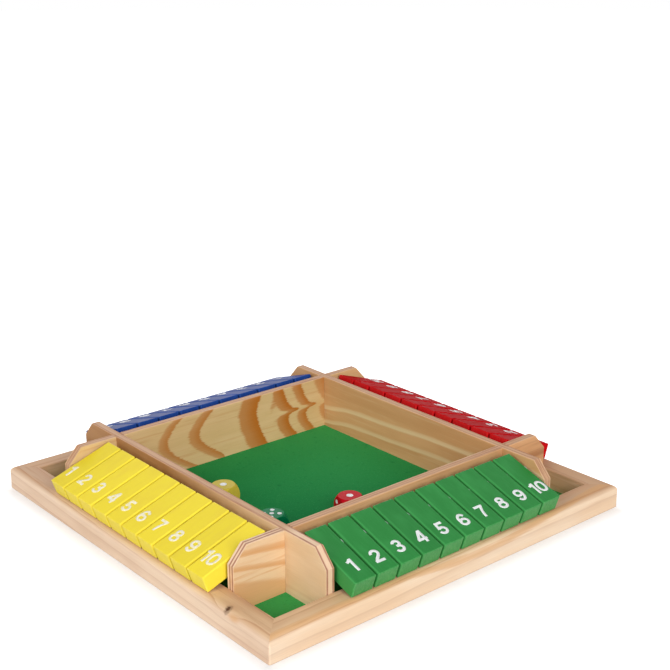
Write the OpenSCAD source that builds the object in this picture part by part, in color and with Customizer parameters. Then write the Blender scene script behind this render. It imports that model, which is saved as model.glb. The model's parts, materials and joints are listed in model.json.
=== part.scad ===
// Four-player shut the box game.
// A mitred pine frame holds a green-lined base and a square dice tray of four cross-lapped
// plywood boards. The boards run on past each other as ears, and each pair of ears carries
// a steel rod with ten numbered tiles. A tile rests on the frame rail and flips over the rod
// until it leans on the tray board. Eight dice lie in the tray.
// Origin: centre of the underside. +Z is up, the green bank is at -Y, the red bank at +X.

/* [Dice tray] */
// Clear inside length of the square tray
tray_clear = 181.4; // [165:0.2:200]
// Thickness of a tray board
board_t = 6.2; // [5:0.2:8]
// Height of the boards' top edges above the underside
board_top = 42.5; // [39:0.5:46]
// Radius of the eased top edges of a board
board_ease = 0.8; // [0.4:0.1:1.5]
// Length of the sloping cut at the top of an ear, along the board
clip_along = 10; // [6:0.5:13]
// Depth of that cut, down the end of the ear
clip_down = 11.2; // [6:0.2:14]
// Gap on each side of a board in its lap slot
lap_play = 0.1; // [0.05:0.05:0.3]

/* [Frame] */
// Distance from the outer face of a tray board to the inner face of the rail
bank_w = 37.1; // [35:0.1:39]
// Width of a rail, seen from above
rail_w = 16; // [14:0.5:20]
// Height of a rail
rail_h = 16; // [14:0.5:17]
// Radius of the rounded outer top edge of a rail
rail_round = 4.8; // [2:0.2:7]
// Size of the eased inner top edge of a rail
rail_ease = 0.6; // [0.3:0.1:1.5]
// Radius of the upright outer corners of the frame
corner_round = 1.2; // [0.5:0.1:3]

/* [Base] */
// Thickness of the base panel
base_t = 1.6; // [1.2:0.1:3]
// Thickness of the green lining glued on the base panel
lining_t = 0.5; // [0.3:0.1:1]
// How far the rebate for the base panel reaches under a rail
rebate_w = 6; // [3:0.5:9]
// Gap between the edge of the base panel and the rebate
panel_play = 0.2; // [0.1:0.1:0.6]
// Gap between the edge of the lining and the rail
lining_play = 0.15; // [0.1:0.05:0.6]

/* [Rods and washers] */
// Diameter of a steel rod
rod_d = 3; // [2:0.1:4]
// Distance from the outer face of a tray board to the axis of the rod
rod_out = 19.7; // [18.5:0.1:20.5]
// Height of the rod's axis above the underside
rod_rise = 32; // [31:0.1:33]
// Depth of the blind rod hole in an ear
hole_depth = 4.4; // [3:0.1:4.8]
// Gap between the end of a rod and the bottom of its hole
rod_end_play = 0.2; // [0.1:0.1:0.5]
// Gap around a rod in its hole in the ear
rod_play = 0.03; // [0.02:0.01:0.08]
// Outside diameter of a spacer washer
washer_d = 8; // [6:0.5:10]
// Gap around the rod in a spacer washer
washer_play = 0.06; // [0.02:0.01:0.09]

/* [Tiles] */
// Gap between neighbouring tiles, where a washer sits
tile_gap = 1.75; // [1.3:0.05:2.2]
// Gap between the last tile of a bank and the ear
end_gap = 2.3; // [1.5:0.1:4]
// Thickness of a tile
tile_t = 11.2; // [10:0.1:12]
// Radius of a tile's eased edges
tile_ease = 0.8; // [0.4:0.1:1.4]
// Distance from a tile's inner end to the axis of the rod
pivot_in = 14.5; // [13.5:0.1:15.5]
// Distance from the outside of the frame to a resting tile's lower outer edge
tile_setback = 3.8; // [3:0.1:6]
// Height of a resting tile's lower outer edge above the rail, before its edge is eased
rest_gap = 0.1; // [0.1:0.05:0.5]
// Gap around the rod in a tile
bore_play = 0.08; // [0.03:0.01:0.1]
// Gap between a washer and the tile beside it
side_play = 0.25; // [0.2:0.05:0.4]

/* [Dice] */
// Width of a die across its faces
die_w = 16; // [12:0.5:18]
// Diameter of the ball that rounds off a die's corners
die_ball = 22.4; // [21:0.1:27]
// Width of a pip
pip_d = 3.2; // [2:0.1:3.4]
// Width of the single pip on the one
pip_one_d = 4.8; // [3:0.1:6]
// Depth of a pip
pip_depth = 0.5; // [0.3:0.1:1]
// Distance from the middle of a face to a pip, along the face's sides
pip_step = 3.6; // [3.5:0.1:4]

/* [Hidden] */
$fn = 48;
over = 1;
tile_count = 10;
tray_half = tray_clear / 2;
board_mid = tray_half + board_t / 2;
board_out = tray_half + board_t;
inner_half = board_out + bank_w;
frame_half = inner_half + rail_w;
floor_z = base_t + lining_t;
board_h = board_top - floor_z;
lap_z = floor_z + board_h / 2;

rod_from_mid = board_out + rod_out;
rod_half = tray_half + hole_depth - rod_end_play;

// The lower outer edge of a resting tile, seen from the rod, gives its length and its slope.
half_t = tile_t / 2;
seat_out = frame_half - tile_setback - rod_from_mid;
seat_down = rod_rise - rail_h - rest_gap;
pivot_out = sqrt(seat_out * seat_out + seat_down * seat_down - half_t * half_t);
tile_len = pivot_in + pivot_out;
tile_slope = atan2(seat_down, seat_out) - atan2(half_t, pivot_out);
tile_w = (tray_clear - 2 * end_gap - (tile_count - 1) * tile_gap) / tile_count;
tile_pitch = tile_w + tile_gap;
bank_start = -tray_half + end_gap;

// Each bank: its colour's name and its quarter turn from the front of the frame
BANKS = [["green", 0], ["red", 1], ["blue", 2], ["yellow", 3]];
// Each side: the frame rail, and its quarter turn from the front
SIDES = [["front", 0], ["right", 1], ["back", 2], ["left", 3]];
// Each die: name, colour, place in the tray from -1 to 1 along X and Y, turn, face on top
DICE = [
    ["yellow_die_1", "gold", -0.71, 0.29, 12, 1],
    ["yellow_die_2", "gold", -0.93, -0.10, 8, 4],
    ["red_die_1", "crimson", -0.03, -0.59, -14, 1],
    ["red_die_2", "crimson", -0.45, -0.90, 33, 6],
    ["green_die_1", "seagreen", -0.74, -0.43, 3, 5],
    ["green_die_2", "seagreen", -0.87, -0.85, -12, 2],
    ["blue_die_1", "royalblue", 0.23, -0.92, 21, 3],
    ["blue_die_2", "royalblue", 0.58, -0.82, -30, 5],
];
die_reach = 12;
die_span = tray_half - die_reach;

function paint(name) =
    name == "green" ? [0.20, 0.55, 0.27] :
    name == "red" ? [0.78, 0.10, 0.12] :
    name == "blue" ? [0.13, 0.28, 0.62] : [0.94, 0.84, 0.20];
function tile_name(bank, number) = str(bank[0], "_tile_", number);
function tile_mid(number) = bank_start + tile_w / 2 + (number - 1) * tile_pitch;

// A rectangle with round corners, centred
module round_rect(w, l, r) {
    square([w - 2 * r, l], center = true);
    square([w, l - 2 * r], center = true);
    for (sx = [-1, 1], sy = [-1, 1])
        translate([sx * (w / 2 - r), sy * (l / 2 - r)])
            circle(r);
}

// What a round of radius r takes off a corner that points to +X and +Y
module corner_waste(r) {
    difference() {
        square(r + over);
        circle(r);
    }
}

// Section of a rail: X runs in from the outer face, Y runs up
module rail_section() {
    difference() {
        square([rail_w, rail_h]);
        translate([rail_round, rail_h - rail_round])
            mirror([1, 0])
                corner_waste(rail_round);
        translate([rail_w, rail_h])
            rotate(45)
                square(rail_ease * sqrt(2), center = true);
        translate([rail_w - rebate_w, -over])
            square([rebate_w + over, base_t + over]);
    }
}

// A rail along the front, cut to a mitre at both ends
module rail(turn) {
    color([0.90, 0.76, 0.60])
        rotate(90 * turn)
            intersection() {
                translate([-frame_half, -frame_half, 0])
                    rotate([90, 0, 90])
                        linear_extrude(2 * frame_half)
                            rail_section();
                translate([0, 0, -over])
                    linear_extrude(rail_h + 2 * over)
                        polygon([[0, 0], 2 * [-frame_half, -frame_half], 2 * [frame_half, -frame_half]]);
                translate([0, 0, -over])
                    linear_extrude(rail_h + 2 * over)
                        round_rect(2 * frame_half, 2 * frame_half, corner_round);
            }
}

module base_panel() {
    side = 2 * (inner_half + rebate_w - panel_play);
    color([0.80, 0.66, 0.48])
        translate([-side / 2, -side / 2, 0])
            cube([side, side, base_t]);
}

module floor_lining() {
    side = 2 * (inner_half - lining_play);
    color([0.12, 0.48, 0.22])
        translate([-side / 2, -side / 2, base_t])
            cube([side, side, lining_t]);
}

// Section of a board: X is its thickness, Y runs up from the floor
module board_section() {
    difference() {
        translate([-board_t / 2, 0])
            square([board_t, board_h]);
        for (side = [0, 1])
            mirror([side, 0])
                translate([board_t / 2 - board_ease, board_h - board_ease])
                    corner_waste(board_ease);
    }
}

// A board centred on the X axis, standing on the floor, with both ears clipped
module plain_board() {
    difference() {
        translate([-inner_half, 0, floor_z])
            rotate([90, 0, 90])
                linear_extrude(2 * inner_half)
                    board_section();
        for (side = [0, 1])
            mirror([side, 0, 0])
                translate([0, board_t / 2 + over, 0])
                    rotate([90, 0, 0])
                        linear_extrude(board_t + 2 * over)
                            polygon([
                                [inner_half - clip_along, board_top],
                                [inner_half, board_top - clip_down],
                                [inner_half + over, board_top - clip_down],
                                [inner_half + over, board_top + over],
                                [inner_half - clip_along, board_top + over]
                            ]);
    }
}

// Slots that let two boards lap: the upper half of one, the lower half of the other
module lap_slots(from_z, to_z) {
    slot = board_t + 2 * lap_play;
    for (side = [-1, 1])
        translate([side * board_mid - slot / 2, -board_t / 2 - over, from_z])
            cube([slot, board_t + 2 * over, to_z - from_z]);
}

// Blind holes for the ends of two rods, in the face towards +Y
module rod_holes() {
    for (side = [-1, 1])
        translate([side * rod_from_mid, board_t / 2 + over, rod_rise])
            rotate([90, 0, 0])
                cylinder(r = rod_d / 2 + rod_play, h = hole_depth + over);
}

// Odd turns run along Y and pass over the even ones at the laps
module tray_board(turn) {
    over_lap = turn % 2 == 1;
    color([0.88, 0.73, 0.53])
        rotate(90 * turn)
            translate([0, -board_mid, 0])
                difference() {
                    plain_board();
                    if (over_lap)
                        lap_slots(floor_z - over, lap_z);
                    else
                        lap_slots(lap_z, board_top + over);
                    rod_holes();
                }
}

module pivot_rods() {
    color([0.72, 0.73, 0.75])
        for (bank = BANKS)
            rotate(90 * bank[1])
                translate([-rod_half, -rod_from_mid, rod_rise])
                    rotate([0, 90, 0])
                        cylinder(d = rod_d, h = 2 * rod_half);
}

// A washer that fills the gap from x = start to x = start + gap, less its side play
module washer(start, gap) {
    translate([start + side_play, -rod_from_mid, rod_rise])
        rotate([0, 90, 0])
            difference() {
                cylinder(d = washer_d, h = gap - 2 * side_play);
                translate([0, 0, -over])
                    cylinder(r = rod_d / 2 + washer_play, h = gap + 2 * over);
            }
}

module spacer_washers() {
    color([0.93, 0.93, 0.91])
        for (bank = BANKS)
            rotate(90 * bank[1]) {
                washer(-tray_half, end_gap);
                for (number = [1 : tile_count - 1])
                    washer(tile_mid(number) + tile_w / 2, tile_gap);
                washer(tray_half - end_gap, end_gap);
            }
}

// A tile on its rod, which runs along X; the number face is up and the outer end is at -Y
module plain_tile() {
    difference() {
        translate([0, pivot_in - tile_len / 2, 0])
            intersection() {
                translate([0, 0, -half_t])
                    linear_extrude(tile_t)
                        round_rect(tile_w, tile_len, tile_ease);
                rotate([90, 0, 0])
                    translate([0, 0, -tile_len / 2])
                        linear_extrude(tile_len)
                            round_rect(tile_w, tile_t, tile_ease);
                rotate([90, 0, 90])
                    translate([0, 0, -tile_w / 2])
                        linear_extrude(tile_w)
                            round_rect(tile_len, tile_t, tile_ease);
            }
        rotate([0, 90, 0])
            cylinder(r = rod_d / 2 + bore_play, h = tile_w + 2 * over, center = true);
    }
}

module tile(bank, number) {
    color(paint(bank[0]))
        rotate(90 * bank[1])
            translate([tile_mid(number), -rod_from_mid, rod_rise])
                rotate([tile_slope, 0, 0])
                    plain_tile();
}

// Places of the pips on a face, in steps from its middle
function pip_places(value) = concat(
    value % 2 == 1 ? [[0, 0]] : [],
    value > 1 ? [[-1, 1], [1, -1]] : [],
    value > 3 ? [[-1, -1], [1, 1]] : [],
    value == 6 ? [[-1, 0], [1, 0]] : []
);

// Dimples for one face, cut into the side of the die that is up
module pips(value) {
    width = value == 1 ? pip_one_d : pip_d;
    ball = (width * width / 4 + pip_depth * pip_depth) / (2 * pip_depth);
    for (place = pip_places(value))
        translate([pip_step * place[0], pip_step * place[1], die_w / 2 + ball - pip_depth])
            sphere(ball);
}

// Turns that bring each face, from one to six, up; opposite faces add up to seven
FACE_TURNS = [[0, 0, 0], [90, 0, 0], [0, 90, 0], [0, -90, 0], [-90, 0, 0], [180, 0, 0]];

module plain_die() {
    difference() {
        intersection() {
            cube(die_w, center = true);
            sphere(d = die_ball);
        }
        for (value = [1 : 6])
            rotate(FACE_TURNS[value - 1])
                pips(value);
    }
}

module die(piece) {
    color(piece[1])
        translate([die_span * piece[2], die_span * piece[3], floor_z + die_w / 2])
            rotate(piece[4])
                rotate(-FACE_TURNS[piece[5] - 1])
                    plain_die();
}

for (side = SIDES)
    rail(side[1]);
for (side = SIDES)
    tray_board(side[1]);
base_panel();
floor_lining();
pivot_rods();
spacer_washers();
for (bank = BANKS)
    for (number = [1 : tile_count])
        tile(bank, number);
for (piece = DICE)
    die(piece);
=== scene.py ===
import json
import math
import random

import bpy
from mathutils import Matrix, Vector

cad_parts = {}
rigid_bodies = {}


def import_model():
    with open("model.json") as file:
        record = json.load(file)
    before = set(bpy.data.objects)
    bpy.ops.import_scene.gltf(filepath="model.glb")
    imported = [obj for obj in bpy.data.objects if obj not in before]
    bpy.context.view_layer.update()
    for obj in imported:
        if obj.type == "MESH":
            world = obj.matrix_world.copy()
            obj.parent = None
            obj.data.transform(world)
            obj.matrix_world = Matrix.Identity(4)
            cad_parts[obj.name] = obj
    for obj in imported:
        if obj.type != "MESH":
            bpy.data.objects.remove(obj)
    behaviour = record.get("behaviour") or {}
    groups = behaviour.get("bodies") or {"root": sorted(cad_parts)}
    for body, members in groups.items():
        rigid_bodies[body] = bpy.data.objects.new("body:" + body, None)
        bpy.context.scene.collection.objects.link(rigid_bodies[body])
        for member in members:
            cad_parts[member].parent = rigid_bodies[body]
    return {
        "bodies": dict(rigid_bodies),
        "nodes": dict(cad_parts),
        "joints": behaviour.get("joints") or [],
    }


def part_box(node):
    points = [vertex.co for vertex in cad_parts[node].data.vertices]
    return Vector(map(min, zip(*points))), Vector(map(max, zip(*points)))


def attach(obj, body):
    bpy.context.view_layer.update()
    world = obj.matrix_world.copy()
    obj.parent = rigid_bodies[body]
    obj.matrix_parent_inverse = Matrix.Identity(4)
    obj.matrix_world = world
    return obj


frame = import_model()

wanted = set(frame["nodes"].values()) | set(frame["bodies"].values())
for stray in [thing for thing in bpy.data.objects if thing not in wanted]:
    bpy.data.objects.remove(stray)
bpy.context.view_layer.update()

mm = 0.001
bankTurns = {"green": 0, "red": 1, "blue": 2, "yellow": 3}  # quarter turns from the front
sideTurns = {"front": 0, "right": 1, "back": 2, "left": 3}
tileCount = 10


def hingePlace(body):  # where its joint is
    return Vector(next(joint["pos_m"] for joint in frame["joints"] if joint["child"] == body))


def readBank():  # the front bank's sizes, from its first two tiles at rest
    rod, nextRod = hingePlace("green_tile_1"), hingePlace("green_tile_2")
    low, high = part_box("green_tile_1")
    middle = (Vector(low) + Vector(high)) / 2
    slope = math.atan2(rod.z - middle.z, rod.y - middle.y)
    found = {"rod": rod, "pitch": nextRod.x - rod.x, "slope": slope}
    level = Matrix.Rotation(-slope, 4, "X") @ Matrix.Translation(-rod)
    corners = [level @ vertex.co for vertex in frame["nodes"]["green_tile_1"].data.vertices]
    found["top"] = max(corner.z for corner in corners)  # number face above the rod's axis
    found["outerEnd"] = min(corner.y for corner in corners)
    found["innerEnd"] = max(corner.y for corner in corners)
    return found


bank = readBank()
print("bank: slope %.2f degrees, pitch %.2f mm" % (math.degrees(bank["slope"]), bank["pitch"] / mm))


def put(tree, kind, wires=None, **settings):  # a node, its settings, and what goes into its sockets
    node = tree.nodes.new(kind)
    for name, value in settings.items():
        setattr(node, name, value)
    for socket, value in (wires or {}).items():
        if isinstance(value, bpy.types.NodeSocket):
            tree.links.new(value, node.inputs[socket])
        else:
            node.inputs[socket].default_value = value
    return node


def sums(tree, operation, *values):
    return put(tree, "ShaderNodeMath", dict(enumerate(values)), operation=operation).outputs[0]


def times(tree, first, second):
    return sums(tree, "MULTIPLY", first, second)


def timesPlus(tree, first, second, third):
    return sums(tree, "MULTIPLY_ADD", first, second, third)


def plus(tree, first, second):
    return sums(tree, "ADD", first, second)


def minus(tree, first, second):
    return sums(tree, "SUBTRACT", first, second)


def over(tree, first, second):
    return sums(tree, "DIVIDE", first, second)


def vectors(tree, operation, *values):
    return put(tree, "ShaderNodeVectorMath", dict(enumerate(values)), operation=operation).outputs[0]


def stretched(tree, vector, stretch):  # along, through and up
    return vectors(tree, "MULTIPLY", vector, stretch)


def scaled(tree, vector, scale):
    return put(tree, "ShaderNodeVectorMath", {0: vector, "Scale": scale}, operation="SCALE").outputs[0]


def lengthOf(tree, vector):
    return put(tree, "ShaderNodeVectorMath", {0: vector}, operation="LENGTH").outputs["Value"]


def parted(tree, vector):
    return put(tree, "ShaderNodeSeparateXYZ", {0: vector}).outputs


def joined(tree, x, y, z):
    return put(tree, "ShaderNodeCombineXYZ", {0: x, 1: y, 2: z}).outputs[0]


def mixed(tree, factor, first, second):
    return put(tree, "ShaderNodeMix", {0: factor, 6: first, 7: second}, data_type="RGBA").outputs[2]


def dimmed(tree, color, gain):
    return vectors(tree, "MULTIPLY", color, joined(tree, gain, gain, gain))


def between(tree, value, start, end, low=0.0, high=1.0, **settings):  # how far it is from start to end
    wires = {0: value, 1: start, 2: end, 3: low, 4: high}
    return put(tree, "ShaderNodeMapRange", wires, **settings).outputs[0]


def fading(tree, away, wide):  # 1 in the middle, 0 from this far out
    return minus(tree, 1.0, sums(tree, "MINIMUM", over(tree, away, wide), 1.0))


def fromSpot(tree, vector, spot, size):  # how far away a spot is, measured in its own size
    return lengthOf(tree, vectors(tree, "DIVIDE", vectors(tree, "SUBTRACT", vector, spot), size))


def ramp(tree, factor, stops):
    node = put(tree, "ShaderNodeValToRGB", {0: factor})
    node.color_ramp.interpolation = "EASE"
    elements = node.color_ramp.elements
    while len(elements) < len(stops):
        elements.new(0.5)
    for element, (place, value) in zip(elements, stops):
        element.position = place
        element.color = (value, value, value, 1)
    return node.outputs["Color"]


def bent(tree, value, points):  # a free curve from 0..1 to 0..1
    node = put(tree, "ShaderNodeFloatCurve", {"Value": value})
    line = node.mapping.curves[0]
    line.points[0].location, line.points[-1].location = points[0], points[-1]
    for place, height in points[1:-1]:
        line.points.new(place, height)
    node.mapping.update()
    return node.outputs[0]


def noise(tree, vector, stretch, seed, detail=2.0, rough=0.5):
    wires = {"Vector": stretched(tree, vector, stretch), "W": seed, "Scale": 1.0,
             "Detail": detail, "Roughness": rough}
    return put(tree, "ShaderNodeTexNoise", wires, noise_dimensions="4D").outputs


def swing(tree, vector, stretch, seed, detail=2.0):  # noise round zero
    return minus(tree, noise(tree, vector, stretch, seed, detail)["Fac"], 0.5)


def chanceOf(tree, whole):  # a random value for each whole number
    return put(tree, "ShaderNodeTexWhiteNoise", {"W": whole}, noise_dimensions="1D").outputs["Value"]


def shade(red, green, blue):  # screen colour, 0 to 255, to linear
    def channel(v):
        v /= 255
        return v / 12.92 if v <= 0.04045 else ((v + 0.055) / 1.055) ** 2.4
    return (channel(red), channel(green), channel(blue), 1)


def newTree(name, treeKind, inputs, outputs):
    kinds = {"c": "Color", "f": "Float", "v": "Vector", "m": "Material", "g": "Geometry"}
    tree = bpy.data.node_groups.new(name, treeKind)
    for label, kind, value in inputs:
        socket = tree.interface.new_socket(label, in_out="INPUT", socket_type="NodeSocket" + kinds[kind])
        if value is not None:
            socket.default_value = value
    for label, kind in outputs:
        tree.interface.new_socket(label, in_out="OUTPUT", socket_type="NodeSocket" + kinds[kind])
    return tree, tree.nodes.new("NodeGroupInput").outputs, tree.nodes.new("NodeGroupOutput")


def newGroup(name, inputs, outputs):
    return newTree(name, "ShaderNodeTree", inputs, outputs)


def finishGroup(tree, result, values):
    for label, value in values.items():
        tree.links.new(value, result.inputs[label])
    return tree


def use(tree, group, wires):
    return put(tree, "ShaderNodeGroup", wires, node_tree=group).outputs


def makeGrowthRings():  # rings of a log cut lengthways; X runs with the grain, all in mm
    tree, given, result = newGroup("growthRings", [
        ("Vector", "v", None), ("Ring Gap", "f", 4.0), ("Wander", "f", 5.0), ("Ragged", "f", 0.15),
        ("Seed", "f", 0.0)], [("Rings", "f")])
    vector, seed = given["Vector"], given["Seed"]
    slow = noise(tree, vector, (0.006, 0.03, 0.03), seed)["Color"]
    drift = scaled(tree, vectors(tree, "SUBTRACT", slow, (0.5, 0.5, 0.5)), given["Wander"])
    radius = lengthOf(tree, stretched(tree, vectors(tree, "ADD", vector, drift), (0, 1, 1)))
    streak = swing(tree, vector, (0.05, 1.6, 1.6), seed)
    count = over(tree, radius, given["Ring Gap"])
    count = timesPlus(tree, streak, given["Ragged"], count)
    wires = {"W": times(tree, count, 0.45), "Scale": 1.0}
    uneven = put(tree, "ShaderNodeTexNoise", wires, noise_dimensions="1D").outputs["Fac"]
    count = timesPlus(tree, uneven, 1.5, count)
    late = ramp(tree, sums(tree, "FRACT", count), [(0, 0), (0.45, 0.05), (0.8, 0.5), (0.93, 1), (1, 0)])
    strength = timesPlus(tree, chanceOf(tree, sums(tree, "FLOOR", count)), 0.7, 0.3)
    return finishGroup(tree, result, {"Rings": times(tree, late, strength)})


def makeFlameFigure():  # bands that cross a peeled veneer, ragged along the grain; X along, Z up, mm
    tree, given, result = newGroup("flameFigure", [
        ("Vector", "v", None), ("Bend", "f", 0.0), ("Wander", "f", 4.0), ("Ragged", "f", 3.0),
        ("Seed", "f", 0.0)], [("Place", "f")])
    vector, seed = given["Vector"], given["Seed"]
    place = minus(tree, parted(tree, vector)["X"], given["Bend"])
    slow = swing(tree, vector, (0.012, 0.0, 0.09), seed)
    place = timesPlus(tree, slow, given["Wander"], place)
    fine = swing(tree, vector, (0.09, 0.3, 1.5), seed, 5.0)
    return finishGroup(tree, result, {"Place": timesPlus(tree, fine, given["Ragged"], place)})


def makeStreakFigure():  # bands that run along a board; X along, Z down from its top edge, mm
    tree, given, result = newGroup("streakFigure", [
        ("Vector", "v", None), ("Lean", "f", 0.0), ("Spread", "f", 0.0), ("Wander", "f", 2.0),
        ("Ragged", "f", 1.0), ("Seed", "f", 0.0)], [("Place", "f")])
    vector, seed = given["Vector"], given["Seed"]
    parts = parted(tree, vector)
    fan = minus(tree, 1.0, times(tree, parts["X"], given["Spread"]))
    place = times(tree, parts["Z"], fan)
    place = minus(tree, place, times(tree, parts["X"], given["Lean"]))
    slow = swing(tree, vector, (0.02, 0.0, 0.06), seed)
    place = timesPlus(tree, slow, given["Wander"], place)
    fine = swing(tree, vector, (0.05, 0.3, 1.4), seed, 3.0)
    return finishGroup(tree, result, {"Place": timesPlus(tree, fine, given["Ragged"], place)})


def makeWoodSkin():  # colour, gloss and fibre of bare sanded wood, from a mask of its figure
    tree, given, result = newGroup("woodSkin", [
        ("Vector", "v", None), ("Mask", "f", 0.0), ("Ground", "c", (0.6, 0.5, 0.4, 1)),
        ("Figure", "c", (0.4, 0.2, 0.1, 1)), ("Blush", "c", (0.6, 0.4, 0.3, 1)), ("Fibre", "f", 0.12),
        ("Streaks", "f", 0.3), ("Seed", "f", 0.0)], [("Color", "c"), ("Roughness", "f"), ("Height", "f")])
    vector, seed, mask = given["Vector"], given["Seed"], given["Mask"]
    tone = ramp(tree, noise(tree, vector, (0.012, 0.07, 0.07), seed, 3.0)["Fac"], [(0.35, 0), (0.68, 0.85)])
    body = mixed(tree, tone, given["Ground"], given["Blush"])
    middling = noise(tree, vector, (0.018, 0.42, 0.42), seed, 4.0, 0.6)["Fac"]
    streak = times(tree, ramp(tree, middling, [(0.5, 0), (0.72, 1)]), given["Streaks"])
    figure = sums(tree, "MAXIMUM", mask, streak)
    body = mixed(tree, figure, body, given["Figure"])
    fibre = noise(tree, vector, (0.07, 2.2, 2.2), seed, 4.0, 0.6)["Fac"]
    fleck = ramp(tree, noise(tree, vector, (0.3, 5.0, 5.0), seed, 1.0)["Fac"], [(0.66, 0), (0.8, 1)])
    gain = timesPlus(tree, minus(tree, fibre, 0.5), given["Fibre"], 1.0)
    gain = minus(tree, gain, times(tree, fleck, 0.06))
    rough = timesPlus(tree, fibre, 0.18, timesPlus(tree, mask, -0.1, 0.52))
    height = timesPlus(tree, mask, 0.4, times(tree, fibre, 0.6))
    return finishGroup(tree, result, {
        "Color": dimmed(tree, body, gain), "Roughness": rough, "Height": height})


def makePlyLayers():  # the cut edge of a three-ply board; Y runs through the board from its middle, mm
    tree, given, result = newGroup("plyLayers", [
        ("Vector", "v", None), ("Half", "f", 3.1), ("First Glue", "f", 1.5), ("Second Glue", "f", 4.0),
        ("Seed", "f", 0.0)], [("Edge", "f"), ("Core", "f"), ("Glue", "f"), ("Streak", "f")])
    vector, seed, half = given["Vector"], given["Seed"], given["Half"]
    first, second = given["First Glue"], given["Second Glue"]
    through = parted(tree, vector)["Y"]
    edge = between(tree, minus(tree, half, sums(tree, "ABSOLUTE", through)), 0.05, 0.5)
    sway = swing(tree, vector, (0.05, 0.0, 0.05), seed)
    depth = timesPlus(tree, sway, 0.5, plus(tree, half, through))
    core = times(tree, sums(tree, "GREATER_THAN", depth, first),
                sums(tree, "LESS_THAN", depth, second))
    away = sums(tree, "MINIMUM", *(
        sums(tree, "ABSOLUTE", minus(tree, depth, line)) for line in (first, second)))
    patch = noise(tree, vector, (0.15, 0.0, 0.15), seed)["Fac"]
    line = fading(tree, away, timesPlus(tree, patch, 1.1, 0.45))
    streak = ramp(tree, noise(tree, vector, (0.03, 2.4, 0.06), seed, 3.0)["Fac"], [(0.52, 0), (0.62, 1)])
    return finishGroup(tree, result, {
        "Edge": edge, "Core": core, "Glue": times(tree, line, edge), "Streak": streak})


def makePaintCoat():  # satin paint over wood: X across the tile, Y along it, mm
    tree, given, result = newGroup("paintCoat", [
        ("Vector", "v", None), ("Full", "c", (0.1, 0.4, 0.1, 1)), ("Thin", "c", (0.2, 0.5, 0.2, 1)),
        ("Seed", "f", 0.0)], [("Color", "c"), ("Roughness", "f"), ("Height", "f")])
    vector, seed = given["Vector"], given["Seed"]
    cloud = noise(tree, vector, (0.12, 0.05, 0.12), seed, 3.0)["Fac"]
    grain = noise(tree, vector, (1.4, 0.07, 1.4), seed, 3.0)["Fac"]
    skin = noise(tree, vector, (0.8, 0.8, 0.8), seed, 1.0)["Fac"]
    thin = sums(tree, "MAXIMUM", ramp(tree, cloud, [(0.4, 0), (0.75, 0.6)]),
                ramp(tree, grain, [(0.5, 0), (0.72, 0.4)]))
    height = timesPlus(tree, grain, 0.5, times(tree, skin, 0.5))
    return finishGroup(tree, result, {
        "Color": mixed(tree, thin, given["Full"], given["Thin"]),
        "Roughness": timesPlus(tree, cloud, 0.16, 0.36), "Height": height})


def makeLintSpecks():  # sparse bits of lint and sawdust, as a mask
    tree, given, result = newGroup("lintSpecks", [
        ("Vector", "v", None), ("Spacing", "f", 12.0), ("Size", "f", 0.5), ("Share", "f", 0.2),
        ("Seed", "f", 0.0)], [("Mask", "f")])
    place = scaled(tree, given["Vector"], over(tree, 1.0, given["Spacing"]))
    wires = {"Vector": place, "W": given["Seed"], "Scale": 1.0}
    cells = put(tree, "ShaderNodeTexVoronoi", wires, voronoi_dimensions="4D").outputs
    away = times(tree, cells["Distance"], given["Spacing"])
    pick = put(tree, "ShaderNodeSeparateColor", {0: cells["Color"]}).outputs[0]
    kept = sums(tree, "LESS_THAN", pick, given["Share"])
    spot = fading(tree, away, given["Size"])
    return finishGroup(tree, result, {"Mask": times(tree, spot, kept)})


growthRings = makeGrowthRings()
flameFigure = makeFlameFigure()
streakFigure = makeStreakFigure()
woodSkin = makeWoodSkin()
plyLayers = makePlyLayers()
paintCoat = makePaintCoat()
lintSpecks = makeLintSpecks()
print("shader groups built")


def newMaterial(name):
    material = bpy.data.materials.new(name)
    material.use_nodes = True
    return material, material.node_tree, material.node_tree.nodes["Principled BSDF"]


def mapped(tree, vector, wires):
    return put(tree, "ShaderNodeMapping", {"Vector": vector, **wires}).outputs[0]


def sideVector(tree, turn=0, shift=(0, 0, 0)):  # mm, turned so that this side faces -Y, then shifted
    place = put(tree, "ShaderNodeTexCoord").outputs["Object"]
    return mapped(tree, place, {
        "Location": shift, "Rotation": (0, 0, math.radians(-90 * turn)), "Scale": (1 / mm, 1 / mm, 1 / mm)})


def dress(tree, shader, color, rough, height, strength, specular=0.5, distance=0.2 * mm):
    tree.links.new(color, shader.inputs["Base Color"])
    tree.links.new(rough, shader.inputs["Roughness"])
    bump = put(tree, "ShaderNodeBump", {"Height": height, "Strength": strength, "Distance": distance})
    tree.links.new(bump.outputs[0], shader.inputs["Normal"])
    shader.inputs["Specular IOR Level"].default_value = specular


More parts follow.
